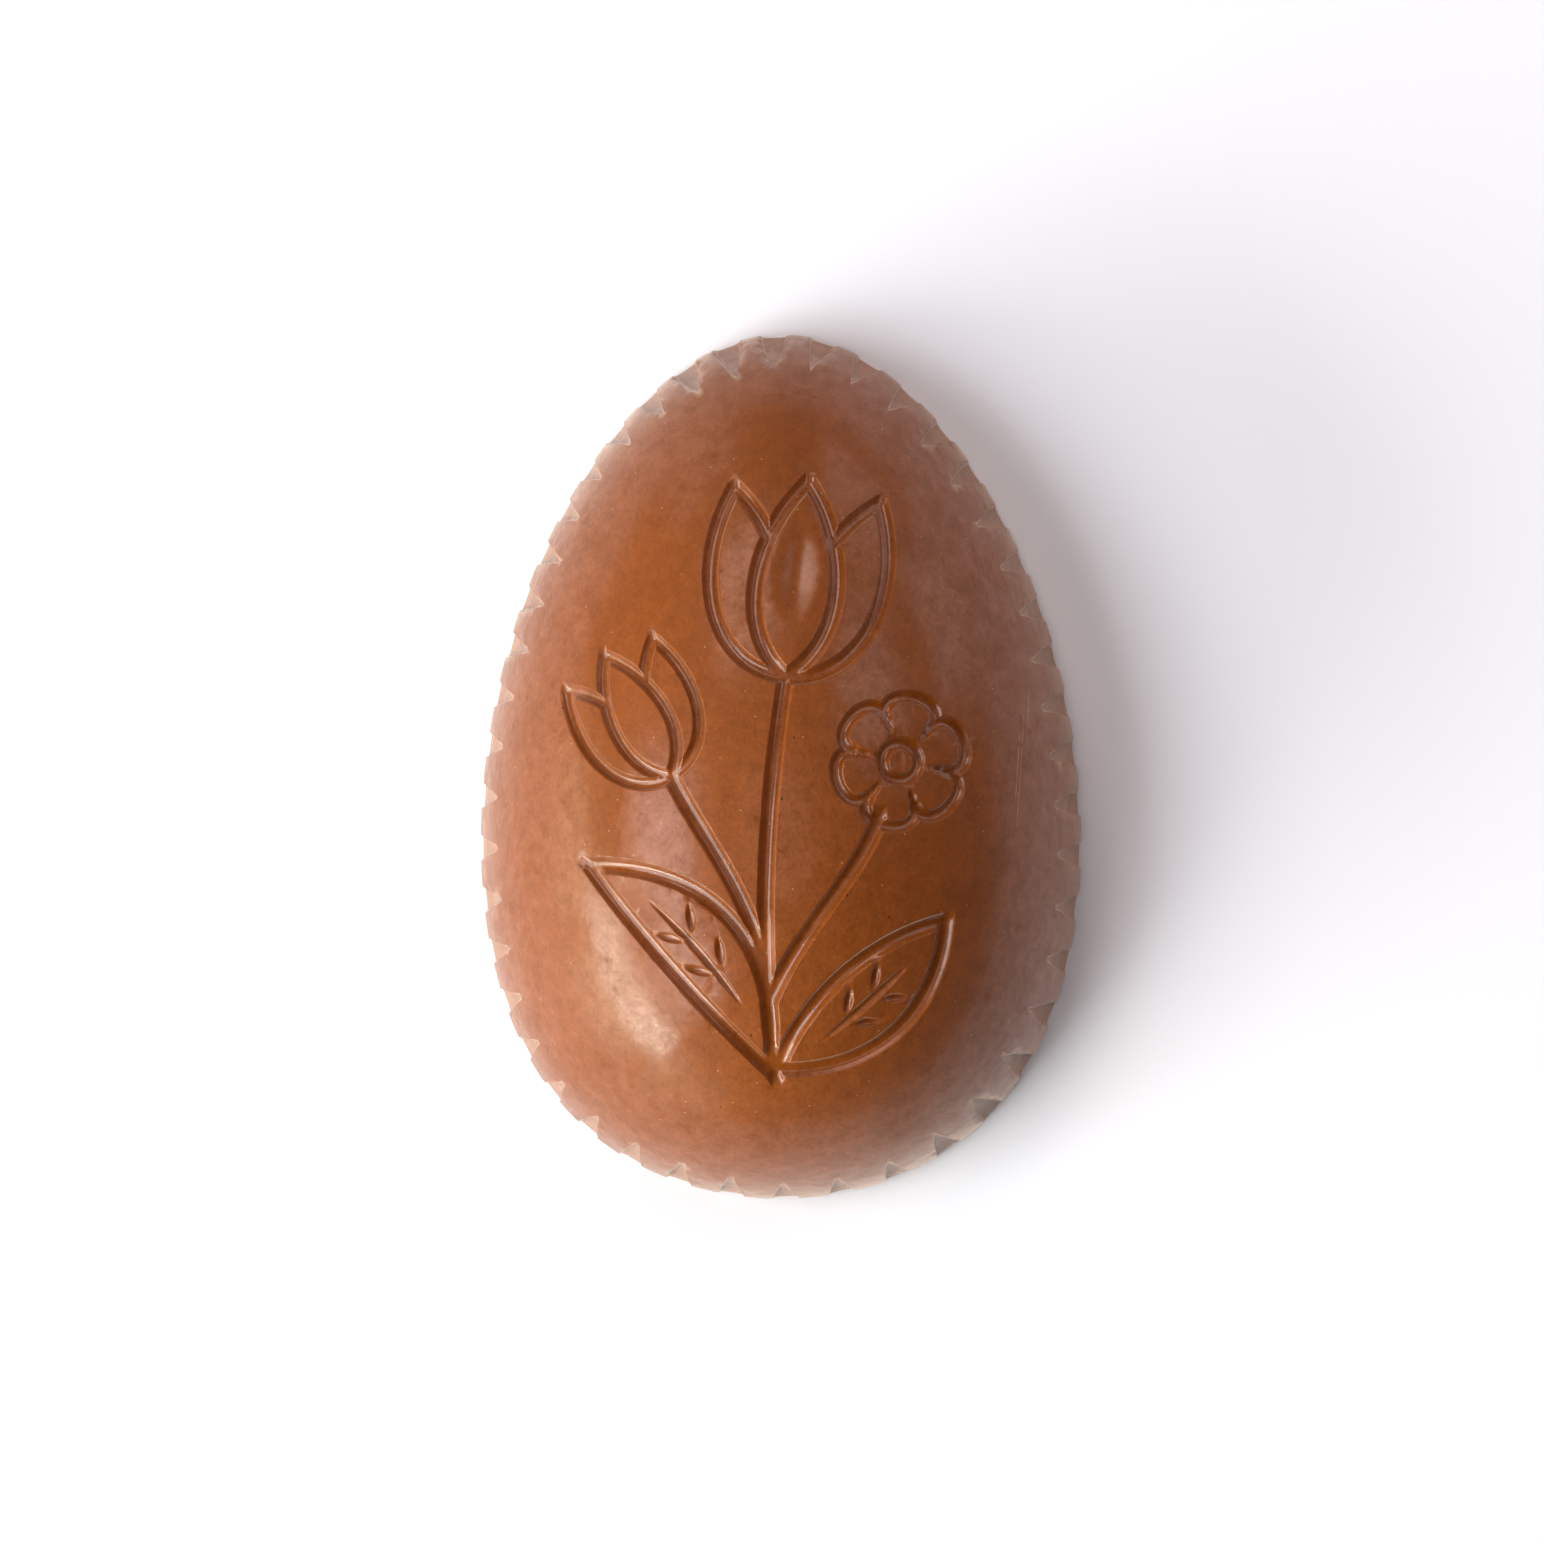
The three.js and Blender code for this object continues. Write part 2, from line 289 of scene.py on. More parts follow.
def facet_height(y):
    near_tip = np.clip((y / HALF_LENGTH - TIP_START) / (1 - TIP_START), 0, 1)
    near_tip = near_tip**2 * (3 - 2 * near_tip)
    return NOTCH_HEIGHT + (NOTCH_HEIGHT_AT_TIP - NOTCH_HEIGHT) * near_tip


def facet_runs():
    share = np.arange(NOTCH_COUNT) / NOTCH_COUNT
    drift = sum(size * np.sin(2 * math.pi * times * share + turn) for size, times, turn in NOTCH_WAVES)
    return NOTCH_PHASE + drift + share * RIM_LENGTH


def facet_places():
    """Rows along the two sloping edges of every facet, spreading out towards its soft shoulders."""
    narrowest = 0.02 * MM
    groups = []
    for run in facet_runs():
        tall = float(facet_height(rim_place([run])[0][0, 1]))
        height = np.linspace(RIM_ROW_HEIGHTS[0], tall, round(tall / FACET_ROW_SPACING))
        spread = 1 + (NOTCH_SHOULDER_SPREAD - 1) * np.maximum(1 - height / NOTCH_SHOULDER_HEIGHT, 0)
        for side in (-1, 1):
            for row in FACET_EDGE_ROWS:
                half = NOTCH_WIDTH / 2 * (1 - (height / tall) ** NOTCH_BOW) - row * spread
                inside = (half > narrowest) | (row <= 0)
                groups.append(wall_places(run + side * half[inside], height[inside]))
    return np.concatenate(groups)


def near(places, others, reach):
    """True for each place that has one of the others within reach."""
    found = finder(others)
    return np.array([found.find((x, y, 0))[2] < reach for x, y in places])


def honeycomb(spacing, half_width, half_height):
    row_step = spacing * math.sqrt(3) / 2
    rows = int(half_height / row_step)
    points = []
    for row in range(-rows, rows + 1):
        shift = spacing / 2 * (row % 2)
        columns = np.arange(-half_width + shift, half_width, spacing)
        points.append(np.column_stack([columns, np.full(len(columns), row * row_step)]))
    return np.concatenate(points)


# The disc is stretched to metres along the skin for spacing: half across it and half along it.
SKIN = np.array([49.0, 60.0]) * MM
# the rim is past the first of these shares of the disc, and coarse corners stay inside the others
RIM_REACH = 0.9999
OPEN_REACH = 0.995
BACK_REACH = 0.93
SAME_CORNER = 1e-5
# how far coarse corners keep from finer rows
WALL_CLEARANCE = 0.2 * MM
OPEN_CLEARANCE = 0.55 * OPEN_SPACING

rim_steps = np.arange(0, RIM_LENGTH, RIM_SPACING)
rim_points = np.column_stack([rim_place(rim_steps)[0], np.zeros(len(rim_steps))])
rim_disc = ball_to_disc(lift_to_ball(rim_points)) * SKIN
facet_disc = ball_to_disc(lift_to_ball(facet_places())) * SKIN
line_disc = plan_to_disc(engraving_places()) * SKIN
wall_disc = ball_to_disc(lift_to_ball(wall_rows())) * SKIN
wall_disc = wall_disc[~near(wall_disc, facet_disc, WALL_CLEARANCE)]
relief_disc = np.concatenate([rim_disc, facet_disc, line_disc, wall_disc])
open_disc = honeycomb(OPEN_SPACING, *SKIN)
open_disc = open_disc[np.linalg.norm(open_disc / SKIN, axis=1) < OPEN_REACH]
open_disc = open_disc[~near(open_disc, relief_disc, OPEN_CLEARANCE)]
back_disc = honeycomb(BACK_SPACING, *SKIN)
back_disc = back_disc[np.linalg.norm(back_disc / SKIN, axis=1) < BACK_REACH]


def triangulate(places):
    """Delaunay triangles between flat places, with places within a hundredth of a mm made one."""
    corners, _, triangles, _, _, _ = delaunay_2d_cdt(
        [Vector(place) for place in places], [], [], 0, 0.01 * MM)
    return np.array([tuple(corner) for corner in corners]) / SKIN, np.array(triangles)


def blank_mesh():
    """The ball's upper half and its flat back, sewn together at the rim."""
    skin, skin_faces = triangulate(np.concatenate([relief_disc, open_disc]))
    ball = disc_to_ball(skin)
    on_rim = np.linalg.norm(skin, axis=1) > RIM_REACH
    ball[on_rim, 2] = 0
    back, back_faces = triangulate(np.concatenate([skin[on_rim] * SKIN, back_disc]))
    rim_numbers = np.flatnonzero(on_rim)
    rim_finder = finder(skin[on_rim])
    back_number = np.zeros(len(back), int)
    extra = []
    for number, (x, y) in enumerate(back):
        _, found, distance = rim_finder.find((x, y, 0))
        if distance < SAME_CORNER:
            back_number[number] = rim_numbers[found]
        else:
            back_number[number] = len(ball) + len(extra)
            extra.append((x, y, 0))
    faces = np.concatenate([skin_faces, back_number[back_faces][:, ::-1]])
    mesh = bpy.data.meshes.new("egg_blank")
    mesh.from_pydata(np.concatenate([ball, extra]).tolist(), [], faces.tolist())
    is_rim = np.concatenate([on_rim, np.zeros(len(extra), bool)])
    sharp = mesh.attributes.new("sharp_edge", "BOOLEAN", "EDGE")
    ends = np.array([edge.vertices[:] for edge in mesh.edges])
    sharp.data.foreach_set("value", is_rim[ends].all(axis=1))
    return mesh


egg = bpy.data.objects.new("chocolate_egg", blank_mesh())
bpy.context.scene.collection.objects.link(egg)


# ---- The mould: form, facets and engraving --------------------------------------------------
# The mould gives the egg all its relief at once: the girth, the ring of flat three-cornered
# facets let into the foot of the wall, and the lines of the flower spray, pressed in by ridges.

LINE_DEPTH = 0.78 * MM
FINE_DEPTH = 0.62 * MM
VEIN_DEPTH = 0.42 * MM
CRISP = 0.05 * MM
SOFT = 0.12 * MM
LEDGE = 0.05 * MM
LINE_STEP = 0.06 * MM
SIDE_BLEND = 0.25 * MM
TAPER_POWER = 0.75
GROOVE_POWER = 3
# in half widths from a line's middle: where its ledge fades, its tail ends, and all else ends
LEDGE_FADE = (1.02, 1.14)
TAIL_END = 3
FAR_OFF = 4


class Wire:
    """An output socket of a node tree. Arithmetic on it adds Math or Vector Math nodes."""

    def __init__(self, tree, socket=None):
        self.tree = tree
        self.socket = socket

    def node(self, kind, settings=None, sockets=None, out=0):
        """Adds any node: its settings are set first, then its sockets' values or links."""
        made = self.tree.nodes.new(kind)
        for name, value in (settings or {}).items():
            setattr(made, name, value)
        for key, value in (sockets or {}).items():
            if isinstance(value, Wire):
                self.tree.links.new(value.socket, made.inputs[key])
            else:
                made.inputs[key].default_value = value
        return Wire(self.tree, made.outputs[out])

    def other(self, out):
        return Wire(self.tree, self.socket.node.outputs[out])

    def _maths(self, operation, *terms):
        wires = [term for term in terms if isinstance(term, Wire)]
        if any(wire.socket.type in ("VECTOR", "RGBA") for wire in wires):
            terms = [term if isinstance(term, Wire) or isinstance(term, tuple) else (term,) * 3
                     for term in terms]
            return self.node("ShaderNodeVectorMath", {"operation": operation}, dict(enumerate(terms)))
        return self.node("ShaderNodeMath", {"operation": operation}, dict(enumerate(terms)))

    def __add__(self, other):
        return self._maths("ADD", self, other)

    def __radd__(self, other):
        return self._maths("ADD", other, self)

    def __sub__(self, other):
        return self._maths("SUBTRACT", self, other)

    def __rsub__(self, other):
        return self._maths("SUBTRACT", other, self)

    def __mul__(self, other):
        return self._maths("MULTIPLY", self, other)

    def __rmul__(self, other):
        return self._maths("MULTIPLY", other, self)

    def __truediv__(self, other):
        return self._maths("DIVIDE", self, other)

    def __pow__(self, other):
        return self._maths("POWER", self, other)

    def __abs__(self):
        return self._maths("ABSOLUTE", self)

    def __gt__(self, other):
        return self._maths("GREATER_THAN", self, other)

    def __lt__(self, other):
        return self._maths("LESS_THAN", self, other)

    def at_least(self, other):
        return self._maths("MAXIMUM", self, other)

    def at_most(self, other):
        return self._maths("MINIMUM", self, other)

    def scaled(self, factor):
        return self.node("ShaderNodeVectorMath", {"operation": "SCALE"}, {0: self, "Scale": factor})

    def dot(self, other):
        return self.node("ShaderNodeVectorMath", {"operation": "DOT_PRODUCT"}, {0: self, 1: other}, "Value")

    def length(self):
        return self.node("ShaderNodeVectorMath", {"operation": "LENGTH"}, {0: self}, "Value")

    def x_y_z(self):
        x = self.node("ShaderNodeSeparateXYZ", None, {0: self}, "X")
        return x, x.other("Y"), x.other("Z")

    def vector(self, x, y, z):
        return self.node("ShaderNodeCombineXYZ", None, {"X": x, "Y": y, "Z": z})

    def ramp(self, low, high, start=0.0, end=1.0):
        """Goes smoothly from start to end as this value goes from low to high."""
        return self.node("ShaderNodeMapRange", {"interpolation_type": "SMOOTHSTEP"},
                         {"Value": self, "From Min": low, "From Max": high, "To Min": start, "To Max": end})


def new_tree(name, inputs, outputs):
    """A Geometry Nodes tree with named inputs and outputs: (tree, wires of its inputs, its end)."""
    tree = bpy.data.node_groups.new(name, "GeometryNodeTree")
    for label, kind in inputs:
        tree.interface.new_socket(name=label, in_out="INPUT", socket_type="NodeSocket" + kind)
    for label, kind in outputs:
        tree.interface.new_socket(name=label, in_out="OUTPUT", socket_type="NodeSocket" + kind)
    start = tree.nodes.new("NodeGroupInput")
    wires = {label: Wire(tree, start.outputs[label]) for label, _ in inputs}
    return tree, wires, tree.nodes.new("NodeGroupOutput")


def sampled(points, index, value, kind="FLOAT_VECTOR"):
    return points.node("GeometryNodeSampleIndex", {"data_type": kind},
                       {"Geometry": points, "Value": value, "Index": index})


def remembered(geometry, name, value, kind="FLOAT"):
    """The geometry with a value kept on its points under a name."""
    return geometry.node("GeometryNodeStoreNamedAttribute", {"data_type": kind, "domain": "POINT"},
                         {"Geometry": geometry, "Name": name, "Value": value})


def line_depth_tree():
    """How deep a set of engraved lines is at a plan place: a round-bottomed groove, its inner
    edge crisp and its outer edge soft, narrowing to both ends where the lines taper."""
    tree, given, end = new_tree(
        "engraved_lines",
        [("Plan place", "Vector"), ("Lines", "Object"), ("Half width", "Float"), ("Depth", "Float"),
         ("Taper", "Float"), ("Crisp", "Float"), ("Soft", "Float"), ("Ledge", "Float"),
         ("Step", "Float")],
        [("Depth", "Float")])
    place = given["Plan place"]
    drawn = place.node("GeometryNodeObjectInfo", None, {"Object": given["Lines"]}, "Geometry")
    drawn = remembered(drawn, "share", drawn.node("GeometryNodeSplineParameter", out="Factor"))
    points = drawn.node("GeometryNodeCurveToPoints", {"mode": "LENGTH"},
                        {"Curve": drawn, "Length": given["Step"]}, "Points")
    nearest = points.node("GeometryNodeSampleNearest", None,
                          {"Geometry": points, "Sample Position": place})
    foot = sampled(points, nearest, points.node("GeometryNodeInputPosition"))
    along_x, along_y, _ = sampled(points, nearest, points.other("Tangent")).x_y_z()
    named = points.node("GeometryNodeInputNamedAttribute", {"data_type": "FLOAT"}, {"Name": "share"})
    share = sampled(points, nearest, named, "FLOAT")
    off = place - foot
    off_x, off_y, _ = off.x_y_z()
    one_side = (off_y * along_x - off_x * along_y).ramp(-SIDE_BLEND, SIDE_BLEND)
    # a hair over 1 keeps the width of a tapering line off nought at its ends
    narrowed = (1.0001 - (2 * share - 1) ** 2) ** TAPER_POWER
    width = 1 - given["Taper"] * (1 - narrowed)
    across = (off.length() / (given["Half width"] * width)).at_most(FAR_OFF)
    depth = given["Depth"] * width * (1 - across ** GROOVE_POWER)
    rounding = given["Crisp"] + (given["Soft"] - given["Crisp"]) * one_side
    smooth = (depth + (depth * depth + rounding * rounding) ** 0.5) / 2
    # the rounding's own tail is taken off again, so that the open skin stays where it is
    tail = rounding * rounding / (4 * given["Depth"] * (TAIL_END ** GROOVE_POWER - 1))
    # the cutter that made the mould's ridge left a hair's width of ledge beside it
    ledge = given["Ledge"] * width * across.ramp(*LEDGE_FADE, 1.0, 0.0)
    tree.links.new((smooth - tail).at_least(ledge).socket, end.inputs["Depth"])
    return tree


line_depths = line_depth_tree()


def engraved_depth(given, plan, up):
    """How deep the engraved lines and the soft hollow are, away from the flat back."""
    drawn = []
    for label in ("Main", "Fine", "Vein"):
        drawn.append(plan.node("GeometryNodeGroup", {"node_tree": line_depths}, {
            "Plan place": plan, "Lines": given[label + " lines"],
            "Half width": given[label + " half width"], "Depth": given[label + " depth"],
            "Taper": 1.0 if label == "Vein" else 0.0, "Ledge": given["Ledge"],
            "Crisp": given["Crisp edge"], "Soft": given["Soft edge"], "Step": LINE_STEP}))
    deep = drawn[0].at_least(drawn[1]).at_least(drawn[2])
    from_dish = plan - given["Dish place"]
    along_x, along_y, _ = given["Dish along"].x_y_z()
    along_dish = from_dish.dot(given["Dish along"])
    across_dish = from_dish.dot(plan.vector(along_y, 0.0 - along_x, 0.0))
    oval = (along_dish / (DISH["length"] / 2 * MM)) ** 2 + (across_dish / (DISH["width"] / 2 * MM)) ** 2
    deep = deep.at_least(given["Dish depth"] * (1 - oval).at_least(0) ** 1.5)
    return deep * up.ramp(3 * MM, 6 * MM)


# The facets, in the tree. Each pair is a side's slope or rounding, at its foot and past its
# soft shoulder. A casting is never quite even, so each facet is a little off in its own way.

RIM_SIDES = 720
SIDE_SLOPES = (1.2, 2.8)
SIDE_ROUNDINGS = (0.34 * MM, 0.10 * MM)
SIDE_WAVER = {"reach": 0.3 * MM, "size": 2.2 * MM, "seed": 8.1}
CASTING_WAVER = {"size": 16 * MM, "seed": 3.7}
FACET_UNEVENNESS = 0.25
RIM_ROUNDING = 0.55 * MM
RIM_INSET = 0.6  # how far the rim's edge draws in, in roundings
SKIN_UNEVENNESS = 0.12 * MM
# the masks that the material reads fade in across a facet's edge and with the depth of its cut,
# and a painted highlight line runs a little outside the edge and fades with the distance from its own
# middle
FACE_FADE = (-0.08 * MM, 0.02 * MM)
CUT_FADE = (0.0, 0.08 * MM)
EDGE_HIGHLIGHT_OFF = 0.1 * MM
EDGE_HIGHLIGHT_FADE = (0.06 * MM, 0.18 * MM)


def sine_of(angle):
    return angle.node("ShaderNodeMath", {"operation": "SINE"}, {0: angle})


def waver(place, size, seed):
    """A smooth random value between about -0.5 and 0.5 that changes over a given size."""
    return place.node("ShaderNodeTexNoise", {"noise_dimensions": "4D"},
                      {"Vector": place, "W": seed, "Scale": 1 / size, "Detail": 1.0}) - 0.5


def squeezed(given, x, y, z):
    """A place on the blank's ball, as a place on the egg."""
    swell = given["Girth 0"] + y * (given["Girth 1"] + y * (given["Girth 2"] + y * given["Girth 3"]))
    return y.vector(x * swell, y, z * swell).scaled(given["Half length"])


def facet_feet(given, here):
    """Points on the rim at the facets' feet, clockwise from the narrow tip, that know its direction."""
    circle = here.node("GeometryNodeCurvePrimitiveCircle", None, {"Resolution": RIM_SIDES})
    turn = here.node("GeometryNodeSplineParameter", out="Factor") * (2 * math.pi)
    on_rim = squeezed(given, sine_of(turn), sine_of(turn + QUARTER_TURN), 0.0)
    rim_curve = here.node("GeometryNodeSetPosition", None, {"Geometry": circle, "Position": on_rim})
    rim_length = here.node("GeometryNodeCurveLength", None, {"Curve": rim_curve})
    share = here.node("GeometryNodeInputIndex") / given["Facet count"]
    run = given["Facet phase"] + share * rim_length
    for times in (1, 2, 3):
        angle = share * (2 * math.pi * times) + given[f"Wave {times} turn"]
        run = run + given[f"Wave {times} size"] * sine_of(angle)
    factor = here.node("ShaderNodeMath", {"operation": "FRACT"}, {0: run / rim_length})
    foot = here.node("GeometryNodeSampleCurve",
                     {"mode": "FACTOR", "data_type": "FLOAT", "use_all_curves": True},
                     {"Curves": rim_curve, "Factor": factor}, "Position")
    feet = here.node("GeometryNodePoints", None, {"Count": given["Facet count"], "Position": foot})
    return remembered(feet, "along", foot.other("Tangent"), "FLOAT_VECTOR")


def facet_relief(given, here, plan, up):
    """What the nearest facet does: (direction inwards, push that way, on its face, its edge's painted
    highlight).
    """
    feet = facet_feet(given, here)
    nearest = feet.node("GeometryNodeSampleNearest", None, {"Geometry": feet, "Sample Position": plan})
    foot = sampled(feet, nearest, here)
    named = feet.node("GeometryNodeInputNamedAttribute", {"data_type": "FLOAT_VECTOR"}, {"Name": "along"})
    along = sampled(feet, nearest, named)
    along_x, along_y, _ = along.x_y_z()
    inwards = along.vector(along_y, 0.0 - along_x, 0.0)
    foot_x, foot_y, _ = foot.x_y_z()
    uneven = given["Facet unevenness"]
    tall = (foot_y / given["Half length"]).ramp(
        TIP_START, 1.0, given["Facet height"], given["Facet height at tip"])
    tall = tall * (1 + 0.25 * uneven * sine_of(nearest * 5.3))
    wall = abs(foot_x / along_y)
    inset = wall - (wall * wall - tall * tall) ** 0.5
    lean = (inset - given["Facet depth"]) / tall
    wobble = waver(here, SIDE_WAVER["size"], SIDE_WAVER["seed"])
    aside = abs((here - foot).dot(along)) + wobble * SIDE_WAVER["reach"]
    behind = (here - foot).dot(inwards)
    own_depth = given["Facet depth"] * (1 + uneven * sine_of(nearest * 3.7))
    face = own_depth + lean * up - behind
    inside = given["Facet width"] / 2 * (1 - (up / tall) ** given["Facet bow"]) - aside
    within = inside * up.ramp(0.0, NOTCH_SHOULDER_HEIGHT, *SIDE_SLOPES)
    edge = up.ramp(0.0, NOTCH_SHOULDER_HEIGHT, *SIDE_ROUNDINGS)
    push = face.node("ShaderNodeMath", {"operation": "SMOOTH_MIN"}, {0: face, 1: face + within, 2: edge})
    push = push.node("ShaderNodeMath", {"operation": "SMOOTH_MAX"}, {0: push, 1: 0.0, 2: edge})
    push = push * (up < given["Facet height"] * 1.1)
    cut = face.ramp(*CUT_FADE) * (up < given["Facet height"])
    on_face = inside.ramp(*FACE_FADE) * cut
    edge_highlight = abs(inside + EDGE_HIGHLIGHT_OFF).ramp(*EDGE_HIGHLIGHT_FADE, 1.0, 0.0) * cut
    return inwards, push, on_face, edge_highlight


def mould_tree():
    """Gives the blank the egg's girth, its facets and its engraved lines."""
    tree, given, end = new_tree(
        "mould_the_egg",
        [("Blank", "Geometry"), ("Half length", "Float"),
         ("Girth 0", "Float"), ("Girth 1", "Float"), ("Girth 2", "Float"), ("Girth 3", "Float"),
         ("Facet count", "Int"), ("Facet width", "Float"), ("Facet bow", "Float"),
         ("Facet depth", "Float"), ("Facet height", "Float"), ("Facet height at tip", "Float"),
         ("Facet phase", "Float"), ("Facet unevenness", "Float"),
         ("Wave 1 size", "Float"), ("Wave 2 size", "Float"), ("Wave 3 size", "Float"),
         ("Wave 1 turn", "Float"), ("Wave 2 turn", "Float"), ("Wave 3 turn", "Float"),
         ("Rim rounding", "Float"), ("Skin unevenness", "Float"),
         ("Main lines", "Object"), ("Fine lines", "Object"), ("Vein lines", "Object"),
         ("Main half width", "Float"), ("Fine half width", "Float"), ("Vein half width", "Float"),
         ("Main depth", "Float"), ("Fine depth", "Float"), ("Vein depth", "Float"),
         ("Crisp edge", "Float"), ("Soft edge", "Float"), ("Ledge", "Float"),
         ("Dish place", "Vector"), ("Dish along", "Vector"), ("Dish depth", "Float"),
         ("Material", "Material")],
        [("Egg", "Geometry")])
    here = Wire(tree).node("GeometryNodeInputPosition")
    x, y, up = here.x_y_z()
    shape = here.node("GeometryNodeSetPosition", None,
                      {"Geometry": given["Blank"], "Position": squeezed(given, x, y, up)})

    # from here on, the position is the place on the egg's smooth form
    plan = here.vector(x, y, 0.0)
    inwards, push, on_face, edge_highlight = facet_relief(given, here, plan, up)
    # the rim's own edge, where it meets the table, is a little rounded
    under = (1 - up / given["Rim rounding"]).at_least(0)
    push = push + RIM_INSET * given["Rim rounding"] * under * under
    deep = engraved_depth(given, plan, up)
    # a cooled casting is never quite true
    casting = waver(here, CASTING_WAVER["size"], CASTING_WAVER["seed"])
    uneven = casting * given["Skin unevenness"] * up.ramp(0.5 * MM, 5 * MM)
    outwards = here.node("GeometryNodeInputNormal")
    shift = inwards.scaled(push) + outwards.scaled(uneven - deep)

    # the material reads where the facets, the painted highlights along their edges and the lines are
    shape = remembered(shape, "facet", on_face)
    shape = remembered(shape, "facet_edge", edge_highlight)
    shape = remembered(shape, "line", deep.ramp(0.03 * MM, 0.3 * MM))
    shape = here.node("GeometryNodeSetPosition", None, {"Geometry": shape, "Offset": shift})
    shape = here.node("GeometryNodeSetShadeSmooth", None, {"Geometry": shape})
    shape = here.node("GeometryNodeRealizeInstances", None, {"Geometry": shape})
    shape = here.node("GeometryNodeSetMaterial", None,
                      {"Geometry": shape, "Material": given["Material"]})
    tree.links.new(shape.socket, end.inputs["Egg"])
    return tree


def lines_object(name, lines):
    """A set of engraved lines as one flat curve object, only for the tree to read."""
    curve = bpy.data.curves.new(name, "CURVE")
    curve.dimensions = "3D"
    curve.resolution_u = 24
    for start, pull, push, end in lines:
        spline = curve.splines.new("BEZIER")
        spline.bezier_points.add(1)
        for point, middle, left, right in zip(
                spline.bezier_points, (start, end), (2 * start - pull, push), (pull, 2 * end - push)):
            point.handle_left_type = point.handle_right_type = "FREE"
            point.co = (*middle, 0)
            point.handle_left = (*left, 0)
            point.handle_right = (*right, 0)
    made = bpy.data.objects.new(name, curve)
    bpy.context.scene.collection.objects.link(made)
    return made


def run_tree(piece, tree, values):
    """Runs a tree on a piece with its inputs set, and keeps the result as the piece's plain mesh."""
    modifier = piece.modifiers.new(tree.name, "NODES")
    modifier.node_group = tree
    for item in tree.interface.items_tree:
        if item.in_out == "INPUT" and item.name in values:
            modifier[item.identifier] = values[item.name]
    depsgraph = bpy.context.evaluated_depsgraph_get()
    result = bpy.data.meshes.new_from_object(piece.evaluated_get(depsgraph), depsgraph=depsgraph)
    piece.modifiers.remove(modifier)
    old = piece.data
    piece.data = result
    result.name = piece.name
    bpy.data.meshes.remove(old)


# ---- The egg: satin milk chocolate, moulded from the blank ----------------------------------
# Tempered milk chocolate sets against the polished mould with a satin gloss and a fine mottled
# grain, duller and darker where it let go of the mould late; the long dark band down the left side
# is painted shade. Small pale spots are painted over tiny bumps. Pinholes of trapped air come from
# the casting, and hairlines and two small gouges from handling; the pinholes and gouges are painted
# dark as painted shade.

CHOCOLATE = (0.206, 0.049, 0.004)
# a cream colour: the specks' and scratches' own, and also used for the painted reflection on the facets and
# the painted highlight along their edges
SPECK_AND_HIGHLIGHT = (0.62, 0.42, 0.27)
PINHOLE_SHADE = (0.035, 0.008, 0.001)
SHEEN_TINT = (1, 0.86, 0.72, 1)
# noise: its size in mm, how many finer layers it has, how strong those are, and its seed
GRAIN = (0.42, 2.0, 0.65, 1.0)
MOTTLE = (1.5, 3.0, 0.65, 2.0)
SWIRL = (12.0, 1.0, 0.5, 5.0)
CLOUD = (7.0, 4.0, 0.62, 3.0)
DENTS = (4.2, 1.0, 0.5, 7.0)
# spots: their grid's size in mm, a seed, the share of cells left empty, a spot's radius in mm
SPECKS = (1.25, 4.0, 0.55, 0.08)
PINHOLES = (3.3, 6.0, 0.3, 0.12)
# the long patch down the left side: a duller finish, and a darkening of the colour that is painted shade
LATE_PATCH_AND_SHADE = {"x": -17.2 * MM, "y": 1.5 * MM, "half_width": 2.5 * MM, "half_length": 16 * MM}
# scratches, from one place in plan to another, in mm
HAIRLINES = (((26.0, 11.4), (25.6, 2.5)), ((25.3, 5.2), (24.6, -6.3)), ((24.9, 3.5), (24.5, -3.0)))
GOUGES = (((25.3, -6.7), (26.3, -8.2)), ((24.9, 5.3), (25.3, 3.9)))
HAIRLINE_HALF_WIDTH = 0.07
GOUGE_HALF_WIDTHS = (0.13, 0.12)


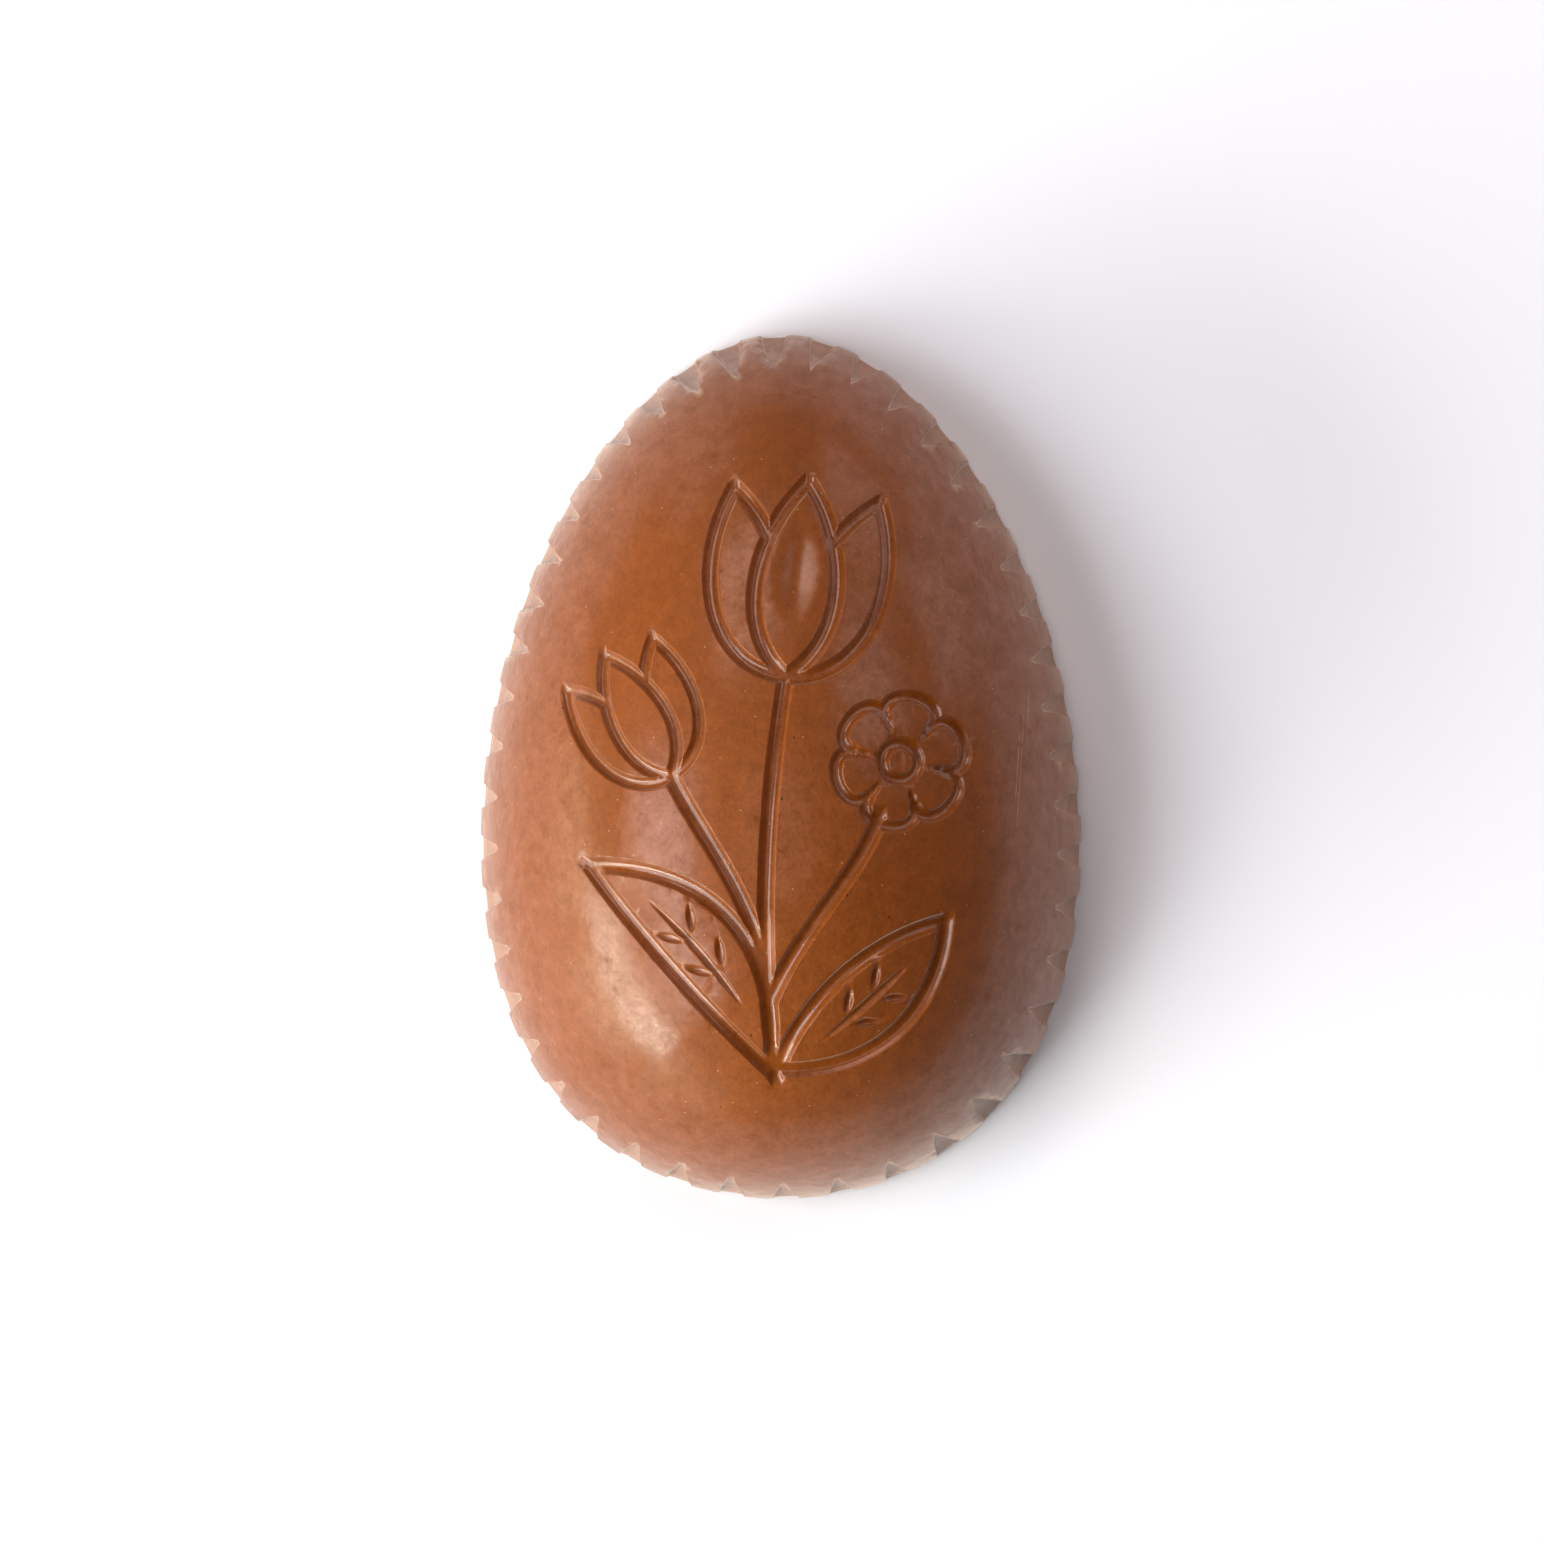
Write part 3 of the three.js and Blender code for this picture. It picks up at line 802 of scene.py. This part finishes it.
def chocolate_material():
    """A recipe: each number in the sums is how strongly that layer shows."""
    material = bpy.data.materials.new("milk_chocolate")
    material.use_nodes = True
    tree = material.node_tree
    tree.nodes.clear()
    place = Wire(tree).node("ShaderNodeTexCoord", out="Object")

    def noise(size, detail, rough, seed, at=place):
        return place.node("ShaderNodeTexNoise", {"noise_dimensions": "4D"},
                          {"Vector": at, "W": seed, "Scale": 1 / (size * MM), "Detail": detail,
                           "Roughness": rough}) - 0.5

    def spots(size, seed, rarity, radius):
        """Small round spots, one in some of the cells of a 3-D grid: 1 inside and 0 outside."""
        cell = place.node("ShaderNodeTexVoronoi", None,
                          {"Vector": place + seed * 10 * MM, "Scale": 1 / (size * MM)}, "Distance")
        chance, _, _ = cell.other("Color").x_y_z()
        return cell.ramp(radius * 0.6 / size, radius * 1.3 / size, 1.0, 0.0) * (chance > rarity)

    grain = noise(*GRAIN)
    mottle = noise(*MOTTLE)
    cloud = noise(*CLOUD, place + noise(*SWIRL) * 14 * MM)
    specks = spots(*SPECKS)
    pinholes = spots(*PINHOLES)

    # the late patches have wispy edges: in clouds all over, and one long one down the left side, which is
    # partly painted shade: it darkens the colour along the band inside the left wall's pale reflection
    x, y, _ = place.x_y_z()
    left_u = (x - LATE_PATCH_AND_SHADE["x"] + cloud * 9 * MM) / LATE_PATCH_AND_SHADE["half_width"]
    left_v = (y - LATE_PATCH_AND_SHADE["y"] + mottle * 6 * MM) / LATE_PATCH_AND_SHADE["half_length"]
    late_patch_and_shade = (left_u * left_u + left_v * left_v).ramp(0.5, 1.2, 1.0, 0.0) * (0.7 + mottle * 1.8)
    patch = cloud.ramp(0.02, 0.16) * 0.7 + late_patch_and_shade

    def scratch(start, end, half_width):
        """1 along a thin straight scratch between two places in plan, in mm, and 0 beside it."""
        run = (end[0] - start[0], end[1] - start[1])
        length = math.hypot(*run)
        along = (run[0] / length, run[1] / length, 0)
        from_start = place - (start[0] * MM, start[1] * MM, 0)
        share = from_start.dot(along) / (length * MM)
        off = abs(from_start.dot((-along[1], along[0], 0)) + mottle * 0.25 * MM)
        line = off.ramp(half_width * 0.4 * MM, half_width * MM, 1.0, 0.0)
        return line * (abs(share - 0.5) < 0.5) * (0.6 + mottle * 3)

    hairlines = [scratch(*ends, HAIRLINE_HALF_WIDTH) for ends in HAIRLINES]
    pale_line = hairlines[0].at_least(hairlines[1]).at_least(hairlines[2])
    gouges = [scratch(*ends, half_width) for ends, half_width in zip(GOUGES, GOUGE_HALF_WIDTHS)]
    gouge = gouges[0].at_least(gouges[1])

    facet, facet_edge, in_line = [place.node("ShaderNodeAttribute", {"attribute_name": name}, out="Fac")
                                  for name in ("facet", "facet_edge", "line")]
    # the patches' darkening is the chocolate's own duller tone in the clouds, and painted shade in the long
    # band down the left side
    shade = 1 + grain * 0.6 + mottle * 0.6 + cloud * 0.4 - patch * 0.12
    colour = place.node("ShaderNodeVectorMath", {"operation": "SCALE"}, {0: CHOCOLATE, "Scale": shade})

    def painted(colour, share, over):
        return place.node("ShaderNodeMix", {"data_type": "RGBA"},
                          {"Factor": share, "A": colour, "B": (*over, 1)}, 2)

    colour = painted(colour, specks * 0.45, SPECK_AND_HIGHLIGHT)
    colour = painted(colour, pale_line * 0.3, SPECK_AND_HIGHLIGHT)
    # painted reflection: the facets are painted paler, standing in for the bright table that their steep
    # faces mirror
    colour = painted(colour, facet * 0.14, SPECK_AND_HIGHLIGHT)
    # painted highlight: a cream line along each facet's edge, standing in for the light caught by the
    # edge's rounding
    colour = painted(colour, facet_edge * 0.48, SPECK_AND_HIGHLIGHT)
    # painted shade: the pinholes and gouges are painted dark, standing in for the shade inside these small
    # hollows
    colour = painted(colour, pinholes.at_least(gouge * 0.5) * 0.8, PINHOLE_SHADE)
    # the lines were never rubbed, and keep the gloss of the polished mould
    rough = 0.58 + mottle * 0.5 + grain * 0.5 + patch * 0.16 - facet * 0.06 - in_line * 0.23
    coat = (0.58 + grain * 0.9 + mottle * 1.2 + cloud * 1.1 - patch * 0.4 - facet * 0.1
            + in_line * 0.4)
    height = (grain * (0.03 - in_line * 0.02) + mottle * (0.1 - in_line * 0.05)
              + noise(*DENTS) * 0.12
              + specks * 0.02 - pinholes * 0.1 - gouge * 0.04 - pale_line * 0.02)
    bump = place.node("ShaderNodeBump", None, {"Strength": 1.0, "Distance": MM, "Height": height}, "Normal")
    shader = place.node("ShaderNodeBsdfPrincipled", None,
                        {"Base Color": colour, "Roughness": rough, "Normal": bump,
                         "IOR": 1.45, "Specular IOR Level": 0.2,
                         "Coat Weight": coat, "Coat Roughness": 0.22, "Coat IOR": 1.45,
                         "Sheen Weight": 0.4, "Sheen Roughness": 0.35, "Sheen Tint": SHEEN_TINT})
    end = tree.nodes.new("ShaderNodeOutputMaterial")
    tree.links.new(shader.socket, end.inputs["Surface"])
    return material


main_drawn = lines_object("main_lines", main_lines)
fine_drawn = lines_object("fine_lines", fine_lines)
vein_drawn = lines_object("vein_lines", vein_lines)
petal_lean = math.radians(-BIG_TULIP["lean"])
petal_up = (-math.sin(petal_lean), math.cos(petal_lean), 0)
dish_place = drawing_at(BIG_TULIP)(0, DISH["along"]) * MM

run_tree(egg, mould_tree(), {
    "Half length": HALF_LENGTH,
    "Girth 0": GIRTH[0], "Girth 1": GIRTH[1], "Girth 2": GIRTH[2], "Girth 3": GIRTH[3],
    "Facet count": NOTCH_COUNT, "Facet width": NOTCH_WIDTH, "Facet bow": NOTCH_BOW,
    "Facet depth": NOTCH_DEPTH, "Facet height": NOTCH_HEIGHT,
    "Facet height at tip": NOTCH_HEIGHT_AT_TIP,
    "Facet phase": NOTCH_PHASE, "Facet unevenness": FACET_UNEVENNESS,
    **{f"Wave {times} size": size for size, times, _ in NOTCH_WAVES},
    **{f"Wave {times} turn": turn for _, times, turn in NOTCH_WAVES},
    "Rim rounding": RIM_ROUNDING, "Skin unevenness": SKIN_UNEVENNESS,
    "Main lines": main_drawn, "Fine lines": fine_drawn, "Vein lines": vein_drawn,
    "Main half width": LINE_RADIUS, "Fine half width": FINE_RADIUS, "Vein half width": VEIN_RADIUS,
    "Main depth": LINE_DEPTH, "Fine depth": FINE_DEPTH, "Vein depth": VEIN_DEPTH,
    "Crisp edge": CRISP, "Soft edge": SOFT, "Ledge": LEDGE,
    "Dish place": (*dish_place, 0), "Dish along": petal_up, "Dish depth": DISH["depth"] * MM,
    "Material": chocolate_material(),
})
for drawn in (main_drawn, fine_drawn, vein_drawn):
    bpy.data.objects.remove(drawn)
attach(egg, "root")
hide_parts(EGG_NODE)


# ---- The table, the camera and the light ----------------------------------------------------
# A plain white table under a camera that looks almost straight down, lit by a large soft window
# low on the left and by the bright room.

TABLE_HALF_WIDTH = 1.5
TABLE_LEVEL = -0.02 * MM
TABLE_COLOUR = (0.83, 0.86, 0.95, 1)
TABLE_ROUGHNESS = 0.7


def floor_piece():
    corners = [(TABLE_HALF_WIDTH * x, TABLE_HALF_WIDTH * y, TABLE_LEVEL)
               for x, y in ((-1, -1), (1, -1), (1, 1), (-1, 1))]
    mesh = bpy.data.meshes.new("table")
    mesh.from_pydata(corners, [], [(0, 1, 2, 3)])
    floor = bpy.data.objects.new("table", mesh)
    bpy.context.scene.collection.objects.link(floor)
    material = bpy.data.materials.new("white_table")
    material.use_nodes = True
    shader = material.node_tree.nodes["Principled BSDF"]
    shader.inputs["Base Color"].default_value = TABLE_COLOUR
    shader.inputs["Roughness"].default_value = TABLE_ROUGHNESS
    mesh.materials.append(material)
    return floor


floor_piece()

FRAME_PIXELS = 1544
PIXEL = 0.10427 * MM
EGG_RIGHT_PIXELS = 8.96  # how far the egg's middle stands right of the middle of the frame
EGG_ABOVE_PIXELS = 5.61
CAMERA_DISTANCE = 0.7
CAMERA_TILT = math.radians(2.1)
SENSOR_WIDTH = 36

camera_data = bpy.data.cameras.new("camera")
camera_data.sensor_width = SENSOR_WIDTH
camera_data.lens = SENSOR_WIDTH * CAMERA_DISTANCE / (FRAME_PIXELS * PIXEL)
camera_data.clip_start = 0.01
camera = bpy.data.objects.new("camera", camera_data)
bpy.context.scene.collection.objects.link(camera)
aim = Vector((-EGG_RIGHT_PIXELS * PIXEL, -EGG_ABOVE_PIXELS * PIXEL, 0))
camera.location = aim + Vector((math.sin(CAMERA_TILT), 0, math.cos(CAMERA_TILT))) * CAMERA_DISTANCE
camera.rotation_euler = (0, CAMERA_TILT, 0)
bpy.context.scene.camera = camera

ROOM_GLOW = (0.02, 0.02, 0.02, 1)
LIGHT_DISTANCE = 1.0
KEY_SIZE = 0.25
FILL_SIZE = 0.42
WINDOW_COLOUR = (1.0, 0.98, 0.84)
LOW_COLOUR = (1.0, 0.98, 0.74)
ROOM_COLOUR = (1.0, 0.82, 0.72)
SKY_COLOUR = (0.97, 0.93, 0.93)

world = bpy.data.worlds.new("room")
bpy.context.scene.world = world
world.use_nodes = True
world.node_tree.nodes["Background"].inputs["Color"].default_value = ROOM_GLOW


def soft_light(azimuth, elevation, size, watts, colour=(1, 1, 1)):
    """A square softbox aimed at the egg. Azimuth is counter-clockwise from +X, in degrees."""
    data = bpy.data.lights.new("softbox", "AREA")
    data.size = size
    data.energy = watts
    data.color = colour
    light = bpy.data.objects.new("softbox", data)
    bpy.context.scene.collection.objects.link(light)
    turn, lift = math.radians(azimuth), math.radians(elevation)
    flat = math.cos(lift)
    direction = Vector((flat * math.cos(turn), flat * math.sin(turn), math.sin(lift)))
    light.location = direction * LIGHT_DISTANCE
    light.rotation_euler = direction.to_track_quat("Z", "Y").to_euler()


# the low window on the left, as three panels side by side, and its wide glow below and above
for azimuth, watts in ((195, 2.9), (210, 2.7), (225, 3.9)):
    soft_light(azimuth, 20, KEY_SIZE, watts, WINDOW_COLOUR)
for azimuth, watts in ((180, 2.2), (210, 2.5), (240, 1.2)):
    soft_light(azimuth, 8, FILL_SIZE, watts, LOW_COLOUR)
for azimuth, watts in ((180, 3.8), (216, 4.0)):
    soft_light(azimuth, 46, FILL_SIZE, watts)
# the rest of the room, much weaker: nearly white light of the sky, and rosy light off the walls
for azimuth, elevation, watts in ((120, 8, 0.7), (30, 8, 0.9), (60, 20, 0.8), (36, 46, 1.1)):
    soft_light(azimuth, elevation, FILL_SIZE, watts, SKY_COLOUR)
for azimuth, elevation, watts in ((36, 46, 1.1), (108, 46, 2.6), (0, 90, 0.8)):
    soft_light(azimuth, elevation, FILL_SIZE, watts, ROOM_COLOUR)
bpy.context.scene.view_settings.view_transform = "Standard"
